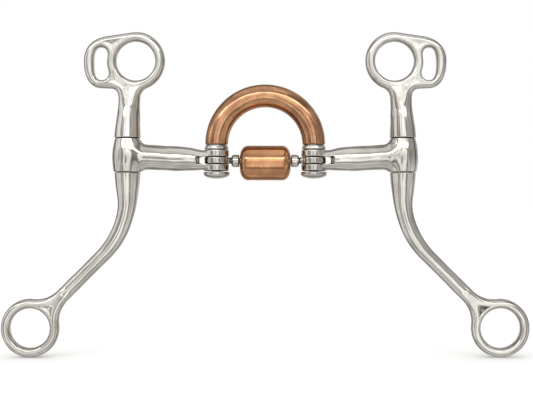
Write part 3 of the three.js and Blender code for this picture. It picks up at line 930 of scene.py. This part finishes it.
def build_pieces():
    """Every piece of the bit, each standing for one CAD node."""
    made = [
        piece("port_arch", *port(), None, "copper_port", "port_unit", "port_copper"),
        piece("barrel_roller", *roller(), None, "copper_roller", "roller", "roller_copper"),
        piece("roller_axle_rod", *axle(), None, "roller_axle", "port_unit", "pin_steel"),
    ]

    pad = 2 * CELL
    margin = np.array([pad, pad, pad])
    at_hinge, at_swivel = np.array([HINGE_X, 0, 0]), np.array([SWIVEL_X, 0, 0])

    def cast(field, low, high, origin, cell=CELL):
        return skin(field, low - origin - margin, high - origin + margin, cell)

    eye = cast(eye_field, EYE_LOW, EYE_HIGH, at_hinge, EYE_CELL)
    arm = cast(cannon_field, CANNON_LOW, CANNON_HIGH, at_hinge)
    for side, (turn, recess, web_half) in SIDES.items():
        cheek = cast(cheek_field(web_half), CHEEK_LOW, CHEEK_HIGH, at_swivel)
        shank = cast(shank_field(recess), SHANK_LOW, SHANK_HIGH, at_swivel)
        cannon_unit, shank_unit = f"{side}_cannon_unit", f"{side}_shank_unit"
        parts = [
            ("axle_stop", (*axle_stop(), None), (0, 0, 0), "axle_collar", "port_unit", "hinge_steel"),
            ("port_washer", (*washer(), None), at_hinge, "port_collar", "port_unit", "hinge_steel"),
            ("headed_pin", (*hinge_pin(), None), at_hinge, "hinge_pin", "port_unit", "pin_steel"),
            ("forged_eye", eye, at_hinge, "bar_eye", "port_unit", "hinge_steel"),
            ("cannon_arm", arm, at_hinge, "cannon", cannon_unit, "cannon_steel"),
            ("spindle_pin", (*spindle(), None), at_swivel, "swivel_spindle", shank_unit, "pin_steel"),
            ("cheek_ring", cheek, at_swivel, "upper_cheek", shank_unit, "cheek_steel"),
            ("shank_ring", shank, at_swivel, "lower_shank", shank_unit, "shank_steel"),
        ]
        for name, (points, faces, normals), origin, node, body, slot in parts:
            placed = (points + np.array(origin)) * (turn, turn, 1)
            facing = None if normals is None else normals * (turn, turn, 1)
            made.append(piece(f"{side}_{name}", placed, faces, facing, f"{side}_{node}", body, slot))
    # Painted shade, with some dirt, for the seams and holes between the pieces.
    paint_seam_shade(made)


# ---- stage ------------------------------------------------------------------------------------

CAMERA_BACK = 480 * MM
VIEW_WIDTH = 273.4 * MM  # across the picture, at the bit
CAMERA_SIDE = 0.67 * MM  # right of the middle of the bit
CAMERA_DROP = 2.7 * MM  # below the middle of its box
SENSOR = 36.0


def camera():
    """Level, square on to the bit, as it was photographed."""
    low, high = CAD_BOX
    middle = (low + high) / 2
    data = bpy.data.cameras.new("camera")
    data.sensor_width = SENSOR
    data.lens = SENSOR * CAMERA_BACK / VIEW_WIDTH
    data.clip_start, data.clip_end = 0.01, 50
    made = bpy.data.objects.new("camera", data)
    made.location = (middle.x + CAMERA_SIDE, middle.y - CAMERA_BACK, middle.z - CAMERA_DROP)
    made.rotation_euler = (math.pi / 2, 0, 0)
    bpy.context.scene.collection.objects.link(made)
    bpy.context.scene.camera = made


def floor():
    """A wide round sheet of white paper under the bit."""
    low, high = CAD_BOX
    middle = (low + high) / 2
    sides, radius = 96, 6.0  # metres
    angles = 2 * np.pi * np.arange(sides) / sides
    points = np.column_stack([middle.x + radius * np.cos(angles), middle.y + radius * np.sin(angles),
                              np.full(sides, low.z)])
    mesh = bpy.data.meshes.new("floor")
    mesh.from_pydata(points.tolist(), [], [list(range(sides))])
    material = bpy.data.materials.new("floor_paper")
    material.use_nodes = True
    nodes = Nodes(material.node_tree)
    shader = material.node_tree.nodes["Principled BSDF"]
    where = nodes.node("TexCoord").outputs["Object"]
    paper = nodes.mix(nodes.noise(where, 4, 3), (0.92, 0.92, 0.92, 1), (0.95, 0.95, 0.945, 1))
    material.node_tree.links.new(paper, shader.inputs["Base Color"])
    shader.inputs["Roughness"].default_value = 0.9
    shader.inputs["Specular IOR Level"].default_value = 0.1
    # The metal mirrors the room all round it, as it would hanging free above the floor.
    mirrored = nodes.node("LightPath").outputs["Is Glossy Ray"]
    clear = nodes.node("BsdfTransparent").outputs["BSDF"]
    both = nodes.node("MixShader", {0: mirrored, 1: shader.outputs["BSDF"], 2: clear})
    output = material.node_tree.nodes["Material Output"]
    material.node_tree.links.new(both.outputs["Shader"], output.inputs["Surface"])
    mesh.materials.append(material)
    made = bpy.data.objects.new("floor", mesh)
    bpy.context.scene.collection.objects.link(made)


# What the metal mirrors: the lights and the darker stretches of the room round the bit.
# [from and to, round from the camera's side towards +X; from and to, above the horizon; soft edge,
# all in degrees; brightness]
ROOM = [
    (-180, 180, 60, 100, 8, 0.66),  # ceiling
    (-105, 105, 37, 58, 6, 0.34),  # dark gap above the strip lamp
    (-62, 62, 26, 33, 3, 5.5),  # strip lamp
    (-180, 180, -100, -50, 9, 0.80),  # below
    (-150, 150, -44, -35, 5, 0.70),  # edge of a bench
    (-135, -62, -34, 40, 8, 1.05),  # pale wall on the left
    (-56, -46, -22, 50, 3, 0.34),  # stand
    (-38, 32, -35, 24, 3, 0.34),  # dark edge of the reflector
    (-28, 22, -30, 24, 3, 1.40),  # reflector round the camera
    (-30, 24, 12, 24, 5, 1.75),  # its upper edge, nearer the lamp
    (-15, -3, -14, 6, 3, 0.6),  # the camera and whoever holds it
    (42, 92, -8, 36, 8, 0.56),  # open room on the right
    (95, 110, -60, 55, 5, 0.18),  # dark stand behind, on the right
    (-124, -112, -60, 55, 5, 0.34),  # and on the left
]
ROOM_BASE = 0.85  # brightness of the walls between them
PAPER = 0.85  # the sheet close behind the bit, in its shadow
BEHIND = (0.42, 0.40, 0.38, 1)  # how much dimmer the far half of the room is
WAVER = 0.22  # radians by which the edges of the panels wander


def studio():
    """The room that lights the bit. The camera and the floor see plain white."""
    world = bpy.data.worlds.new("studio")
    bpy.context.scene.world = world
    world.use_nodes = True
    tree = world.node_tree
    nodes = Nodes(tree)
    direction = nodes.node("TexCoord").outputs["Generated"]
    x, y, z = nodes.node("SeparateXYZ", {"Vector": direction}).outputs
    swing = nodes.maths("SUBTRACT", nodes.noise(direction, 2.2, 3, 0.55), 0.5)
    waver = nodes.maths("MULTIPLY", swing, WAVER)
    around = nodes.maths("ADD", nodes.maths("ARCTAN2", x, nodes.maths("MULTIPLY", y, -1.0)), waver)
    above = nodes.maths("ADD", nodes.maths("ARCSINE", z, 0.0), nodes.maths("MULTIPLY", waver, 0.5))

    def between(angle, low, high, edge):
        low, high, edge = math.radians(low), math.radians(high), math.radians(edge)
        rise = nodes.remap(angle, low - edge, low + edge)
        return nodes.maths("MULTIPLY", rise, nodes.remap(angle, high - edge, high + edge, 1.0, 0.0))

    def grey(value):
        """A grey that is a little warm, more so where it is dark."""
        warmth = 0.035 / (value + 0.5)
        return value * (1 + warmth), value, value * (1 - 1.6 * warmth), 1

    room = nodes.mix(1.0, grey(ROOM_BASE), grey(ROOM_BASE))
    for west, east, low, high, edge, value in ROOM:
        across, upwards = between(around, west, east, edge), between(above, low, high, edge)
        room = nodes.mix(nodes.maths("MULTIPLY", across, upwards), room, grey(value))
    blotches = nodes.noise(nodes.stretched(direction, (2.0, 2.0, 0.9)), 2.6, 5, 0.62)
    clutter = nodes.remap(blotches, 0.3, 0.72, 0.62, 1.22)
    room = nodes.node("VectorMath", {0: room, "Scale": clutter}, operation="SCALE").outputs[0]
    far_side = nodes.remap(y, 0.15, 0.45)
    behind = nodes.maths("MULTIPLY", far_side, nodes.remap(x, -0.3, 0.7, 1.0, 0.5))
    shade = nodes.mix(behind, (1, 1, 1, 1), BEHIND)
    room = nodes.node("VectorMath", {0: room, 1: shade}, operation="MULTIPLY").outputs[0]
    room = nodes.mix(nodes.remap(y, 0.78, 0.93), room, grey(PAPER))
    path = nodes.node("LightPath").outputs
    seen = nodes.maths("MAXIMUM", path["Is Camera Ray"], path["Is Diffuse Ray"])
    background = tree.nodes["Background"]
    tree.links.new(nodes.mix(seen, room, (1.0, 1.0, 1.0, 1)), background.inputs["Color"])
    background.inputs["Strength"].default_value = 1.0


def soft_light(name, source, spread, power):
    """A large far-off lamp that shines from source towards the bit. spread is its width in degrees."""
    data = bpy.data.lights.new(name, "SUN")
    data.angle = math.radians(spread)
    data.energy = power
    made = bpy.data.objects.new(name, data)
    made.rotation_euler = (-Vector(source)).to_track_quat("-Z", "Y").to_euler()
    bpy.context.scene.collection.objects.link(made)


camera()
build_pieces()
floor()
studio()
soft_light("overhead", (-0.25, -0.35, 1.0), 70, 0.4)
bpy.context.scene.view_settings.view_transform = "Standard"
